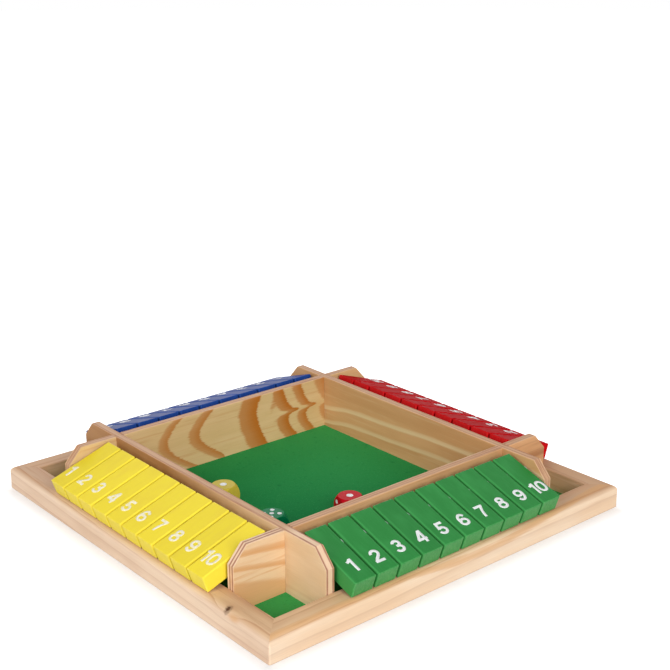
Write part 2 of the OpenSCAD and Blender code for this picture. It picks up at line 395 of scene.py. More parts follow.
pineLook = {  # each rail is its own stick: where its pith lies, how it leans, and how bold its rings are
    "fibre": 0.2, "specular": 0.22, "relief": 0.22, "figure": shade(172, 112, 72), "streaks": 0.45,
    # the tops are coloured darker than the faces: painted shade on the up-facing tops, darker still toward
    # the far end
    "top": shade(228, 194, 152), "topBlush": shade(206, 164, 126), "topFarShade": shade(202, 166, 134),
    "crown": (5.0, 7.8),  # a face turns into the top between these heights above the rail's middle
    "faceBold": 0.45,  # rings on a face, where those on the top are 1
    "foot": 0.3, "footShadeTall": 0.7,  # a painted contact shadow: a dark line along the underside
    "heart": shade(214, 162, 108), "heartBold": 0.7, "heartWide": 3.8, "heartRagged": 4.0,
    "heartSpan": (-150.0, 150.0), "heartReach": 20.0,  # along the rail, and over its top and face unrolled
    "front": {
        "side": shade(243, 218, 190), "sideBlush": shade(236, 203, 168), "pith": (0, 40, 44),
        "lean": (0.0, 0.030, 0.022), "gap": 7.5, "wander": 7.0, "bold": 0.7, "seed": 1.3,
        "dull": (10, 110),  # its top turns darker from here to there: painted shade toward the far end
        "heart": [
            (0.0, 0.5), (0.15, 0.49), (0.32, 0.48), (0.54, 0.18), (0.74, 0.39), (0.9, 0.65), (1.0, 0.75)]},
    "right": {
        "side": shade(230, 198, 164), "sideBlush": shade(220, 180, 142), "pith": (0, -24, 30),
        "lean": (0.0, 0.016, 0.010), "gap": 5.5, "wander": 8.0, "bold": 0.6, "seed": 4.1,
        "dull": (-200, -160)},
    "back": {
        "side": shade(230, 198, 164), "sideBlush": shade(220, 180, 142), "pith": (0, 20, -34),
        "lean": (0.0, -0.02, 0.012), "gap": 5.5, "wander": 7.0, "bold": 0.6, "seed": 7.7,
        "dull": (-200, -160)},
    "left": {
        "side": shade(238, 211, 184), "sideBlush": shade(224, 192, 164), "pith": (0, 30, 42),
        "lean": (0.0, -0.021, 0.008), "gap": 6.4, "wander": 4.0, "bold": 0.8, "seed": 2.6,
        "dull": (20, -110),
        "knot": {
            "place": (109.3, -5.6, 7.6), "size": (2.1, 3.0, 3.0), "ragged": 1.1, "color": shade(88, 56, 36),
            "swing": (12.0, 6.0, 6.0), "push": 3.4,  # how far out, and by how much, the rings go round it
            "halo": (117.0, -7.0, 5.4), "haloSize": (7.0, 2.6, 3.0)}},
}
railHalf = 8.0
railMiddle = (0, 142, -railHalf)  # brings a rail's middle to the origin


def roundKnot(tree, vector, knot):
    away = fromSpot(tree, vector, knot["place"], knot["swing"])
    fall = sums(tree, "EXPONENT", times(tree, sums(tree, "POWER", away, 2.0), -1.0))
    hump = times(tree, fall, knot["push"])
    return joined(tree, 0.0, hump, hump)


def knotStain(tree, vector, color, knot, seed):
    away = fromSpot(tree, vector, knot["place"], knot["size"])
    away = timesPlus(tree, swing(tree, vector, (0.5, 0.9, 0.9), seed), knot["ragged"], away)
    core = ramp(tree, times(tree, away, 0.6), [(0.24, 1), (0.45, 0.5), (0.9, 0)])
    halo = ramp(tree, fromSpot(tree, vector, knot["halo"], knot["haloSize"]), [(0.2, 0.6), (1.0, 0.0)])
    return mixed(tree, core, mixed(tree, halo, color, pineLook["heart"]), knot["color"])


def heartStreak(tree, vector, path, seed):  # a warm streak that wanders from the top over to the face
    parts = parted(tree, vector)
    share = between(tree, parts["X"], *pineLook["heartSpan"])
    middle = times(tree, bent(tree, share, path), pineLook["heartReach"])
    unrolled = plus(tree, plus(tree, parts["Y"], parts["Z"]), railHalf)
    ragged = swing(tree, vector, (0.05, 0.9, 0.9), seed, 4.0)
    unrolled = timesPlus(tree, ragged, pineLook["heartRagged"], unrolled)
    away = sums(tree, "ABSOLUTE", minus(tree, unrolled, middle))
    bold = pineLook["heartBold"]
    stops = [(0.0, bold), (0.45, 0.85 * bold), (1.0, 0.0)]
    return ramp(tree, over(tree, away, pineLook["heartWide"]), stops)


def makePine(side):
    look = pineLook[side]
    material, tree, shader = newMaterial(side + "Pine")
    vector = sideVector(tree, sideTurns[side], railMiddle)
    log = mapped(tree, vector, {"Location": look["pith"], "Rotation": look["lean"]})
    if "knot" in look:
        log = vectors(tree, "ADD", log, roundKnot(tree, vector, look["knot"]))
    rings = use(tree, growthRings, {
        "Vector": log, "Ring Gap": look["gap"], "Wander": look["wander"], "Seed": look["seed"]})["Rings"]
    parts = parted(tree, vector)
    crown = between(tree, parts["Z"], *pineLook["crown"])
    # painted shade: the top is darker than the face, and darker toward the far end
    top = mixed(tree, between(tree, parts["X"], *look["dull"]), pineLook["top"], pineLook["topFarShade"])
    onFace = pineLook["faceBold"]
    bold = times(tree, timesPlus(tree, crown, 1 - onFace, onFace), look["bold"])
    # painted contact shadow: a darker line along the underside
    foot = between(tree, parts["Z"], -railHalf, pineLook["footShadeTall"] - railHalf, pineLook["foot"], 0.0)
    ground = mixed(tree, crown, look["side"], top)
    blush = mixed(tree, crown, look["sideBlush"], pineLook["topBlush"])
    if "heart" in look:
        heart = heartStreak(tree, vector, look["heart"], look["seed"])
        ground, blush = (mixed(tree, heart, tint, pineLook["heart"]) for tint in (ground, blush))
    skin = use(tree, woodSkin, {
        "Vector": vector, "Mask": sums(tree, "MAXIMUM", times(tree, rings, bold), foot),
        "Ground": ground, "Figure": pineLook["figure"], "Blush": blush, "Fibre": pineLook["fibre"],
        "Streaks": times(tree, bold, pineLook["streaks"]), "Seed": look["seed"]})
    color = skin["Color"]
    if "knot" in look:
        color = knotStain(tree, vector, color, look["knot"], look["seed"])
    dress(tree, shader, color, skin["Roughness"], skin["Height"], pineLook["relief"], pineLook["specular"])
    return material


boardTop = 42.5
innerSeed = 5.0  # sets a board's inner face apart from its outer one
boardMiddle = (0, 93.8, 0)  # brings the middle of a tray board's thickness to the origin
bandHalf = 100.0  # bands can lie this far to either side
bandEdge = {"soft": 0.3, "mostSoft": 0.012, "knee": 0.75, "before": 0.004, "after": 0.003, "last": 0.994}
plyShades = {  # ground, blush and figure of the veneers
    "rust": (shade(186, 138, 92), shade(168, 118, 72), shade(138, 88, 50)),
    "amber": (shade(226, 174, 126), shade(208, 152, 104), shade(158, 98, 56)),
    "straw": (shade(228, 193, 142), shade(216, 179, 124), shade(190, 110, 36)),
    "peach": (shade(240, 208, 168), shade(234, 198, 156), shade(212, 148, 82)),
    "tan": (shade(214, 164, 114), shade(200, 148, 97), shade(230, 200, 154)),
    "biscuit": (shade(240, 209, 171), shade(228, 192, 148), shade(206, 158, 106)),
}
plyLook = {  # outer is the face towards the rail, inner the one towards the tray; places in mm
    "fibre": 0.18, "streaks": 0.3, "specular": 0.22, "relief": 0.2,
    "rim": shade(240, 210, 178), "rimCore": shade(226, 184, 148),
    "top": shade(214, 175, 139), "topCore": shade(172, 118, 84),
    "coreShows": 0.25, "streaksShow": 0.8,  # how much of the core's colour is on a sawn edge
    "ear": (92.0, 104.0),  # toward the pale end the sawn edges lighten between these places
    "glue": shade(140, 58, 36), "glueBold": 0.9,
    "glueFaint": 0.42,  # away from the pale end
    "front": {
        "outer": {
            "kind": "streak", "shade": "peach", "from": -134.0, "straight": 60.0, "lean": 0.07,
            "spread": 0.0065, "wander": 3.0, "ragged": 1.5,
            "bands": [(2.0, 5.8, 0.74), (11.4, 14.6, 0.7), (20.5, 60.0, 0.8)]},
        "inner": {"kind": "streak", "shade": "biscuit", "bands": [(6, 11, 0.4), (24, 28, 0.5)]},
        "glueLines": (1.55, 4.0), "pale": -1, "darker": "amber", "strip": (90.0, 94.0), "streaks": 0.45,
        "seed": 3.0},
    "right": {
        "outer": {
            "kind": "flame", "shade": "biscuit", "bands": [(-60, -42, 0.5), (20, 32, 0.6), (50, 70, 0.5)]},
        "inner": {
            "kind": "streak", "shade": "tan", "wander": 1.2, "ragged": 1.6,
            "wave": [(0.0, 0.42), (0.06, 0.36), (0.2, 0.55), (0.4, 0.62), (0.56, 0.72), (0.72, 0.8),
                     (0.86, 1.0), (1.0, 1.0)],
            "waveSpan": (-134.0, 134.0), "waveDeep": 25.0, "bands": [(-1.8, 1.8, 0.9), (10.2, 13.6, 0.8)]},
        "glueLines": (1.3, 4.6), "pale": 0, "darker": "rust", "strip": (-4.0, -2.0), "seed": 11.0},
    "back": {
        "outer": {
            "kind": "flame", "shade": "straw", "bands": [(-70, -50, 0.6), (-14, 6, 0.7), (44, 60, 0.7)]},
        "inner": {
            "kind": "flame", "shade": "straw", "mirrored": True, "flames": True,
            "wander": 4.0, "ragged": 6.0,
            "bands": [(-65, -56, 0.8), (-39, -28, 0.85), (7, 25, 1.0), (38, 50.5, 1.0), (58, 68, 0.95),
                      (80, 92, 0.8)]},
        "glueLines": (1.5, 4.4), "pale": 0, "darker": "rust", "strip": (-4.0, -2.0), "seed": 8.0},
    "left": {
        "outer": {"kind": "streak", "shade": "biscuit", "bands": [(34, 36, 0.3), (50, 60, 0.4)]},
        "inner": {"kind": "streak", "shade": "tan", "wander": 4.0, "bands": [(8, 11, 0.6), (22, 26, 0.6)]},
        "glueLines": (0.95, 5.4), "pale": 1, "darker": "rust", "strip": (-30.0, 100.0), "streaks": 0.12,
        "seed": 6.0},
}
flameDeep = 30.0
flameBends = [  # how far a flame swings along the board from foot to top, and where the next one takes over
    {"until": (-10.0, 2.0),
     "bend": [(0, 1), (0.06, 0.86), (0.26, 0.42), (0.42, 0.14), (0.6, 0.0), (0.76, 0.1), (1, 0.48)]},
    {"until": (37.0, 44.0),
     "bend": [(0, 0.36), (0.26, 0.16), (0.5, 0.03), (0.75, 0.0), (1, 0.15)]},
    {"until": None,
     "bend": [(0, 0.5), (0.1, 0.38), (0.28, 0.2), (0.42, 0.15), (0.49, 0.26), (0.535, 0.5), (0.58, 0.32),
              (0.67, 0.2), (0.82, 0.08), (1, 0.0)]},
]


def bandStops(bands):  # colour-ramp stops for bands with a soft start and a sharp end
    stops = [(0.0, 0.0)]
    before, after = bandEdge["before"], bandEdge["after"]
    for start, end, strength in bands:
        start, end = ((place + bandHalf) / (2 * bandHalf) for place in (start, end))
        end = min(end, bandEdge["last"])
        soft = min(bandEdge["soft"] * (end - start), bandEdge["mostSoft"])
        stops += [(start - before, 0.0), (start + soft, bandEdge["knee"] * strength)]
        stops += [(end - before, strength), (end + after, 0.0)]
    return stops


def flameBend(tree, vector):
    parts = parted(tree, vector)
    height = over(tree, parts["Z"], boardTop)
    total = bent(tree, height, flameBends[0]["bend"])
    for before, after in zip(flameBends, flameBends[1:]):
        share = between(tree, parts["X"], *before["until"], interpolation_type="SMOOTHSTEP")
        wires = {0: share, 2: total, 3: bent(tree, height, after["bend"])}
        total = put(tree, "ShaderNodeMix", wires, data_type="FLOAT").outputs[0]
    return times(tree, total, flameDeep)


def veneer(tree, vector, face, seed):  # mask of one face's figure
    wires = {"Wander": face.get("wander", 5.0), "Ragged": face.get("ragged", 2.0), "Seed": seed}
    if face["kind"] == "flame":
        if face.get("mirrored"):
            vector = stretched(tree, vector, (-1, 1, 1))
        wires["Bend"] = flameBend(tree, vector) if face.get("flames") else 0.0
        place = use(tree, flameFigure, {"Vector": vector, **wires})["Place"]
    else:
        parts = parted(tree, vector)
        along = parts["X"]
        down = minus(tree, boardTop, parts["Z"])
        if "wave" in face:
            wave = bent(tree, between(tree, along, *face["waveSpan"]), face["wave"])
            down = minus(tree, down, times(tree, wave, face["waveDeep"]))
        if "from" in face:
            along = sums(tree, "MINIMUM", minus(tree, along, face["from"]), face["straight"])
        wires["Lean"], wires["Spread"] = face.get("lean", 0.0), face.get("spread", 0.0)
        laid = joined(tree, along, parts["Y"], down)
        place = use(tree, streakFigure, {"Vector": laid, **wires})["Place"]
    return ramp(tree, timesPlus(tree, place, 0.5 / bandHalf, 0.5), bandStops(face["bands"]))


def makePly(side):
    look = plyLook[side]
    material, tree, shader = newMaterial(side + "Ply")
    vector = sideVector(tree, sideTurns[side], boardMiddle)
    parts = parted(tree, vector)
    inside = sums(tree, "GREATER_THAN", parts["Y"], 0.0)
    out = times(tree, parts["X"], look["pale"])
    onEar = between(tree, out, *look["strip"])
    ear = between(tree, out, *plyLook["ear"])
    toRail = veneer(tree, vector, look["outer"], look["seed"])
    toTray = veneer(tree, vector, look["inner"], look["seed"] + innerSeed)
    kinds = (look["darker"], look["outer"]["shade"], look["inner"]["shade"])
    ground, blush, figure = (
        mixed(tree, inside, mixed(tree, onEar, darker, outer), inner)
        for darker, outer, inner in zip(*(plyShades[kind] for kind in kinds)))
    skin = use(tree, woodSkin, {
        "Vector": vector, "Mask": mixed(tree, inside, toRail, toTray), "Ground": ground, "Blush": blush,
        "Figure": figure, "Fibre": plyLook["fibre"], "Streaks": look.get("streaks", plyLook["streaks"]),
        "Seed": look["seed"]})
    first, second = look["glueLines"]
    layers = use(tree, plyLayers, {
        "Vector": vector, "First Glue": first, "Second Glue": second, "Seed": look["seed"]})
    core = sums(tree, "MAXIMUM", times(tree, layers["Core"], plyLook["coreShows"]),
                times(tree, layers["Streak"], plyLook["streaksShow"]))
    rim = mixed(tree, core, mixed(tree, ear, plyLook["top"], plyLook["rim"]),
                mixed(tree, ear, plyLook["topCore"], plyLook["rimCore"]))
    color = mixed(tree, layers["Edge"], skin["Color"], rim)
    faint = plyLook["glueFaint"]
    glue = timesPlus(tree, ear, plyLook["glueBold"] - faint, faint)
    color = mixed(tree, times(tree, layers["Glue"], glue), color, plyLook["glue"])
    dress(tree, shader, color, skin["Roughness"], skin["Height"], plyLook["relief"], plyLook["specular"])
    return material


paintLook = {
    "relief": 0.14, "reliefDeep": 0.3,
    "varied": 0.1,  # from the darkest tile to the lightest
    "seedSpan": 50.0,
    "endSkin": 0.5, "endGrainAndLight": 0.45,  # mm of each end that shows its end grain; the lighter end colour is also painted light on the lit end faces
    "rounding": (6.7, 8.0), "highlightBold": 0.75,  # painted highlight: each colour's lighter edge shade covers a tile's long edges, between these mm from its middle
    "green": {
        "full": shade(32, 126, 52), "thin": shade(54, 146, 72), "end": shade(104, 176, 106),
        "edge": shade(66, 156, 80), "gloss": 0.2, "seed": 1.0},
    "red": {
        "full": shade(186, 8, 18), "thin": shade(200, 24, 30), "end": shade(208, 54, 50),
        "edge": shade(206, 18, 26), "gloss": 0.004, "seed": 2.0},
    "blue": {
        "full": shade(20, 52, 126), "thin": shade(32, 72, 156), "end": shade(44, 84, 160),
        "edge": shade(38, 80, 160), "gloss": 0.05, "seed": 3.0},
    "yellow": {
        "full": shade(241, 219, 52), "thin": shade(233, 206, 62), "end": shade(240, 222, 104),
        "edge": shade(252, 233, 74), "gloss": 0.1, "seed": 4.0},
}


def makePaint(colorName):
    look = paintLook[colorName]
    material, tree, shader = newMaterial(colorName + "Paint")
    level = sideVector(tree, bankTurns[colorName], (0, -bank["rod"].y / mm, -bank["rod"].z / mm))
    vector = mapped(tree, level, {"Rotation": (-bank["slope"], 0, 0)})
    parts = parted(tree, vector)
    pitch = bank["pitch"] / mm
    start = bank["rod"].x / mm - pitch / 2
    number = over(tree, minus(tree, parts["X"], start), pitch)
    each = chanceOf(tree, plus(tree, sums(tree, "FLOOR", number), look["seed"]))
    seed = timesPlus(tree, each, paintLook["seedSpan"], look["seed"])
    coat = use(tree, paintCoat, {"Vector": vector, "Full": look["full"], "Thin": look["thin"], "Seed": seed})
    across = times(tree, minus(tree, sums(tree, "FRACT", number), 0.5), pitch)
    across = sums(tree, "ABSOLUTE", across)
    # painted highlight: a lighter shade over each tile's rounded long edges
    highlightMask = between(tree, across, *paintLook["rounding"], 0.0, paintLook["highlightBold"])
    color = mixed(tree, highlightMask, coat["Color"], look["edge"])
    varied = paintLook["varied"]
    color = dimmed(tree, color, timesPlus(tree, each, varied, 1 - varied / 2))
    skin = paintLook["endSkin"]
    atEnd = sums(tree, "MAXIMUM", sums(tree, "LESS_THAN", parts["Y"], bank["outerEnd"] / mm + skin),
                 sums(tree, "GREATER_THAN", parts["Y"], bank["innerEnd"] / mm - skin))
    saw = ramp(tree, noise(tree, vector, (3.4, 0.0, 0.4), seed, 4.0)["Fac"], [(0.4, 0.35), (0.62, 1)])
    # end grain through the paint, and painted light: the end colour is a lighter copy of the paint
    sawnAndLitEnd = times(tree, atEnd, saw)
    color = mixed(tree, times(tree, sawnAndLitEnd, paintLook["endGrainAndLight"]), color, look["end"])
    dress(tree, shader, color, coat["Roughness"], plus(tree, coat["Height"], sawnAndLitEnd),
          paintLook["relief"], look["gloss"], paintLook["reliefDeep"] * mm)
    return material


liningLook = {
    "deep": shade(10, 122, 62), "pale": shade(60, 158, 80), "nap": shade(84, 182, 112),
    "worn": shade(4, 100, 52), "lint": shade(196, 222, 186), "specular": 0.06, "relief": 0.3,
    "litWells": (92.0, 97.0),  # painted light: past the tray boards, in the lit wells, it is paler
    "farLight": (-60.0, 190.0),  # painted light: paler toward the back right corner, along X plus Y, with painted shade toward the front boards
    "specks": {"Spacing": 18.0, "Size": 0.6, "Share": 0.3},
}


def makeLining():
    material, tree, shader = newMaterial("liningGreen")
    vector = sideVector(tree)
    parts = parted(tree, vector)
    cloud = noise(tree, vector, (0.03, 0.03, 0.03), 5.0, 4.0)["Fac"]
    nap = noise(tree, vector, (0.9, 1.1, 1.0), 9.0, 4.0)["Fac"]
    dent = noise(tree, vector, (0.35, 0.35, 0.35), 3.0, 3.0)["Fac"]
    reach = sums(tree, "MAXIMUM", sums(tree, "ABSOLUTE", parts["X"]), sums(tree, "ABSOLUTE", parts["Y"]))
    # painted light: the lining is paler in the wells past the tray boards
    litWell = between(tree, reach, *liningLook["litWells"])
    # painted light toward the back right corner, painted shade near the front boards
    farLit = between(tree, plus(tree, parts["X"], parts["Y"]), *liningLook["farLight"])
    cloudy = ramp(tree, cloud, [(0.4, 0), (0.75, 0.4)])
    tone = sums(tree, "MAXIMUM", sums(tree, "MAXIMUM", litWell, farLit), cloudy)
    color = mixed(tree, tone, liningLook["deep"], liningLook["pale"])
    color = mixed(tree, ramp(tree, nap, [(0.52, 0), (0.8, 0.5)]), color, liningLook["nap"])
    color = mixed(tree, ramp(tree, dent, [(0.58, 0), (0.78, 0.6)]), color, liningLook["worn"])
    specks = use(tree, lintSpecks, {"Vector": vector, **liningLook["specks"]})["Mask"]
    color = mixed(tree, specks, color, liningLook["lint"])
    rough = timesPlus(tree, nap, 0.2, 0.7)
    dress(tree, shader, color, rough, nap, liningLook["relief"], liningLook["specular"])
    return material


plasticLook = {
    "cloudy": 0.86, "relief": 0.05,
    "die": {"rough": 0.3, "specular": 0.03},
    "washer": {"rough": 0.35, "specular": 0.5, "color": shade(196, 204, 204)},
}


def makePlastic(name, kind, color):
    look = plasticLook[kind]
    material, tree, shader = newMaterial(name)
    cloud = noise(tree, sideVector(tree), (0.3, 0.3, 0.3), 2.0)["Fac"]
    darker = tuple(plasticLook["cloudy"] * v for v in color[:3]) + (1,)
    rough = timesPlus(tree, cloud, 0.1, look["rough"])
    color = mixed(tree, cloud, color, darker)
    dress(tree, shader, color, rough, cloud, plasticLook["relief"], look["specular"])
    return material


steelLook = {"dull": shade(176, 178, 182), "bright": shade(200, 202, 205), "relief": 0.1, "reliefDeep": 0.1}


def makeSteel():
    material, tree, shader = newMaterial("rodSteel")
    drawn = noise(tree, sideVector(tree), (0.2, 3.0, 3.0), 1.0, 3.0)["Fac"]
    color = mixed(tree, drawn, steelLook["dull"], steelLook["bright"])
    rough = timesPlus(tree, drawn, 0.15, 0.25)
    dress(tree, shader, color, rough, drawn, steelLook["relief"], distance=steelLook["reliefDeep"] * mm)
    shader.inputs["Metallic"].default_value = 1.0
    return material


baseLook = {"stripe": 46.0, "wander": 60.0, "specular": 0.25, "relief": 0.2, "seed": 14.0}


def makeBasePly():
    material, tree, shader = newMaterial("basePly")
    vector = sideVector(tree)
    parts = parted(tree, vector)
    warp = use(tree, flameFigure, {
        "Vector": joined(tree, parts["X"], 0.0, parts["Y"]), "Wander": baseLook["wander"],
        "Seed": baseLook["seed"]})["Place"]
    stripes = sums(tree, "FRACT", over(tree, warp, baseLook["stripe"]))
    ground, blush, figure = plyShades["straw"]
    skin = use(tree, woodSkin, {
        "Vector": vector, "Mask": ramp(tree, stripes, [(0, 0), (0.5, 0.1), (0.86, 0.55), (0.9, 0.0)]),
        "Ground": ground, "Blush": blush, "Figure": figure, "Fibre": plyLook["fibre"],
        "Seed": baseLook["seed"] + 1})
    dress(tree, shader, skin["Color"], skin["Roughness"], skin["Height"], baseLook["relief"],
          baseLook["specular"])
    return material


dieShades = {
    "yellow": shade(216, 194, 72), "red": shade(208, 14, 32), "green": shade(6, 130, 82),
    "blue": shade(28, 66, 150),
}
printShades = {  # full and worn; the yellow bank's numbers let their paint through
    "white": (shade(240, 242, 242), shade(222, 226, 228)),
    "cream": (shade(244, 239, 222), shade(243, 228, 142)),
    "specular": 0.3, "relief": 0.06,
}


def makePrint(kind):
    material, tree, shader = newMaterial(kind + "Print")
    full, worn = printShades[kind]
    patch = noise(tree, sideVector(tree), (0.9, 0.9, 0.9), 6.0, 3.0)["Fac"]
    color = mixed(tree, ramp(tree, patch, [(0.42, 0), (0.68, 1)]), full, worn)
    rough = timesPlus(tree, patch, 0.15, 0.38)
    dress(tree, shader, color, rough, patch, printShades["relief"], printShades["specular"])
    return material


whitePrint, creamPrint = makePrint("white"), makePrint("cream")
print("materials ready")


def giveMaterial(node, material):
    data = frame["nodes"][node].data
    for index in range(len(data.materials)):
        data.materials[index] = material


for side in sideTurns:
    giveMaterial(side + "_rail", makePine(side))
    giveMaterial(side + "_board", makePly(side))
for colorName in bankTurns:
    paint = makePaint(colorName)
    plastic = makePlastic(colorName + "DiePlastic", "die", dieShades[colorName])
    for number in range(1, tileCount + 1):
        giveMaterial("%s_tile_%d" % (colorName, number), paint)
    for number in (1, 2):
        giveMaterial("%s_die_%d" % (colorName, number), plastic)
giveMaterial("floor_lining", makeLining())
giveMaterial("base_panel", makeBasePly())
giveMaterial("pivot_rods", makeSteel())
giveMaterial("spacer_washers", makePlastic("washerNylon", "washer", plasticLook["washer"]["color"]))
print("frame dressed")


def newShapeTree(name, inputs):
    return newTree(name, "GeometryNodeTree", [("Geometry", "g", None)] + inputs, [("Geometry", "g")])


def finishShape(tree, geometry, material, result):
    real = put(tree, "GeometryNodeRealizeInstances", {"Geometry": geometry})
    painted = put(tree, "GeometryNodeSetMaterial", {"Geometry": real.outputs[0], "Material": material})
    tree.links.new(painted.outputs[0], result.inputs[0])
    return tree


def grow(name, source, tree, values, place):  # runs a tree on a curve or mesh and keeps the plain mesh
    thing = bpy.data.objects.new(name + "Seed", source)
    bpy.context.scene.collection.objects.link(thing)
    modifier = thing.modifiers.new("shape", "NODES")
    modifier.node_group = tree
    for item in tree.interface.items_tree:
        if item.in_out == "INPUT" and item.name in values:
            modifier[item.identifier] = values[item.name]
    mesh = bpy.data.meshes.new_from_object(thing.evaluated_get(bpy.context.evaluated_depsgraph_get()))
    bpy.data.objects.remove(thing)
    mesh.name = name
    mesh.transform(place)
    piece = bpy.data.objects.new(name, mesh)
    bpy.context.scene.collection.objects.link(piece)
    return piece


printLook = {  # sizes in mm; the strokes are drawn in a box 1 high
    "tall": 10.3, "stroke": 0.19, "proud": 0.05, "sunk": 0.05, "gap": 0.09, "middle": 0.36,
    "astray": (0.35, 0.3, 1.2),  # the most that one is off to the side, along and in degrees
    "paint": {"green": whitePrint, "red": whitePrint, "blue": whitePrint, "yellow": creamPrint},
    "places": {"green": (0.6, -20.5), "red": (0.6, -20.3), "blue": (0.2, -20.3), "yellow": (-2.6, -19.2)},
}


def arc(x, y, wide, tall, start, end, steps=20):
    turns = [math.radians(start + (end - start) * i / steps) for i in range(steps + 1)]
    return [(x + wide * math.cos(a), y + tall * math.sin(a)) for a in turns]


def oval(x, y, wide, tall, square=2.2, steps=44):
    points = []
    for i in range(steps):
        c, s = math.cos(2 * math.pi * i / steps), math.sin(2 * math.pi * i / steps)
        points.append((x + wide * math.copysign(abs(c) ** (2 / square), c),
                       y + tall * math.copysign(abs(s) ** (2 / square), s)))
    return points + points[:1]


def digitStrokes():
    half = printLook["stroke"] / 2
    six = [oval(0.36, 0.315, 0.265, 0.2225), arc(0.385, 0.5, 0.29, 0.405, 206, 36)]
    return {
        "0": [oval(0.36, 0.5, 0.265, 0.405, 2.4)],
        "1": [[(0.43, -0.1), (0.43, 1.1)], [(0.43, 0.96), (0.31, 0.835), (0.13, 0.755)]],
        "2": [arc(0.36, 0.69, 0.245, 0.2175, 182, -25)
              + [(0.50, 0.49), (0.40, 0.40), (0.28, 0.30), (0.18, 0.20), (0.125, 0.05)],
              [(0.02, half), (0.70, half)]],
        "3": [arc(0.345, 0.715, 0.225, 0.1925, 168, -90) + [(0.25, 0.5225)],
              arc(0.345, 0.3075, 0.255, 0.215, 90, -168)],
        "4": [[(0.54, -0.1), (0.54, 1.1)], [(0.57, 1.08), (0.075, 0.27)], [(0.0, 0.295), (0.71, 0.295)]],
        "5": [[(0.15, 1 - half), (0.655, 1 - half)], [(0.215, 1.0), (0.165, 0.43)],
              arc(0.35, 0.325, 0.265, 0.235, 146, -166)],
        "6": six,
        "7": [[(0.03, 1 - half), (0.69, 1 - half)],
              [(0.60, 0.90), (0.50, 0.72), (0.42, 0.54), (0.355, 0.32), (0.315, 0.1), (0.305, -0.1)]],
        "8": [oval(0.36, 0.735, 0.215, 0.1725, 2.1), oval(0.36, 0.31, 0.265, 0.2175, 2.1)],
        "9": [[(0.72 - x, 1 - y) for x, y in path] for path in six],
    }


def makeNumberTree():  # strokes become ribbons of paint, joined and trimmed to the digit's height
    tree, given, result = newShapeTree("printedNumber", [
        ("Stroke", "f", 0.19), ("Depth", "f", 0.01), ("Tall", "f", 1.0), ("Paint", "m", None)])
    flat = put(tree, "GeometryNodeSetCurveNormal", {"Curve": given["Geometry"]})
    flat.mode = "Z_UP"
    wires = {"Width": given["Stroke"], "Height": given["Depth"]}
    profile = put(tree, "GeometryNodeCurvePrimitiveQuadrilateral", wires)
    ribbon = put(tree, "GeometryNodeCurveToMesh", {
        "Curve": flat.outputs[0], "Profile Curve": profile.outputs[0], "Fill Caps": True})
    island = put(tree, "GeometryNodeInputMeshIsland").outputs["Island Index"]
    wires = {"Geometry": ribbon.outputs[0], "Group ID": island}
    strokes = put(tree, "GeometryNodeSplitToInstances", wires, domain="FACE").outputs["Instances"]
    union = put(tree, "GeometryNodeMeshBoolean", {"Mesh 2": strokes}, operation="UNION", solver="EXACT")
    trim = put(tree, "GeometryNodeMeshCube", {"Size": (4, 1, 1)})
    middle = put(tree, "GeometryNodeTransform", {"Geometry": trim.outputs[0], "Translation": (0, 0.5, 0)})
    wires = {"Mesh 2": union.outputs[0]}
    clip = put(tree, "GeometryNodeMeshBoolean", wires, operation="INTERSECT", solver="EXACT")
    tree.links.new(middle.outputs[0], clip.inputs["Mesh 2"])
    size = joined(tree, given["Tall"], given["Tall"], 1.0)
    sized = put(tree, "GeometryNodeTransform", {"Geometry": clip.outputs[0], "Scale": size})
    return finishShape(tree, sized.outputs[0], given["Paint"], result)


def numberCurve(text, strokes):
    curve = bpy.data.curves.new("number" + text, "CURVE")
    curve.dimensions = "3D"
    half = printLook["stroke"] / 2
    start = 0.0
    spans = []
    for digit in text:
        xs = [x for path in strokes[digit] for x, y in path]
        left, right = min(xs) - half, max(xs) + half
        shift = 0.0 if not spans else start + printLook["gap"] - left
        for path in strokes[digit]:
            closed = path[0] == path[-1]
            points = path[:-1] if closed else path
            spline = curve.splines.new("POLY")
            spline.points.add(len(points) - 1)
            for point, (x, y) in zip(spline.points, points):
                point.co = (x + shift, y, 0, 1)
            spline.use_cyclic_u = closed
        spans.append((left + shift, right + shift))
        start = right + shift
    middle = printLook["middle"] if len(text) == 1 else (spans[0][0] + spans[-1][1]) / 2
    for spline in curve.splines:
        for point in spline.points:
            point.co.x -= middle
    return curve


def tilePlace(colorName, number):
    rod = bank["rod"] + Vector(((number - 1) * bank["pitch"], 0, 0))
    return (Matrix.Rotation(math.radians(90 * bankTurns[colorName]), 4, "Z")
            @ Matrix.Translation(rod) @ Matrix.Rotation(bank["slope"], 4, "X"))


def printNumbers():
    tree = makeNumberTree()
    strokes = digitStrokes()
    chance = random.Random(12)
    depth = (printLook["proud"] + printLook["sunk"]) * mm
    lift = bank["top"] + printLook["proud"] * mm - depth / 2
    aside, ahead, askew = printLook["astray"]
    for colorName in bankTurns:
        across, along = printLook["places"][colorName]
        for number in range(1, tileCount + 1):
            x = across + chance.uniform(-aside, aside)
            y = along + chance.uniform(-ahead, ahead)
            spot = Matrix.Translation((x * mm, (y - printLook["tall"] / 2) * mm, lift))
            turn = Matrix.Rotation(math.radians(chance.uniform(-askew, askew)), 4, "Z")
            place = tilePlace(colorName, number) @ spot @ turn
            curve = numberCurve(str(number), strokes)
            values = {"Stroke": printLook["stroke"], "Depth": depth, "Tall": printLook["tall"] * mm,
                      "Paint": printLook["paint"][colorName]}
            piece = grow("%s_number_%d" % (colorName, number), curve, tree, values, place)
            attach(piece, "%s_tile_%d" % (colorName, number))


printNumbers()
print("numbers printed")


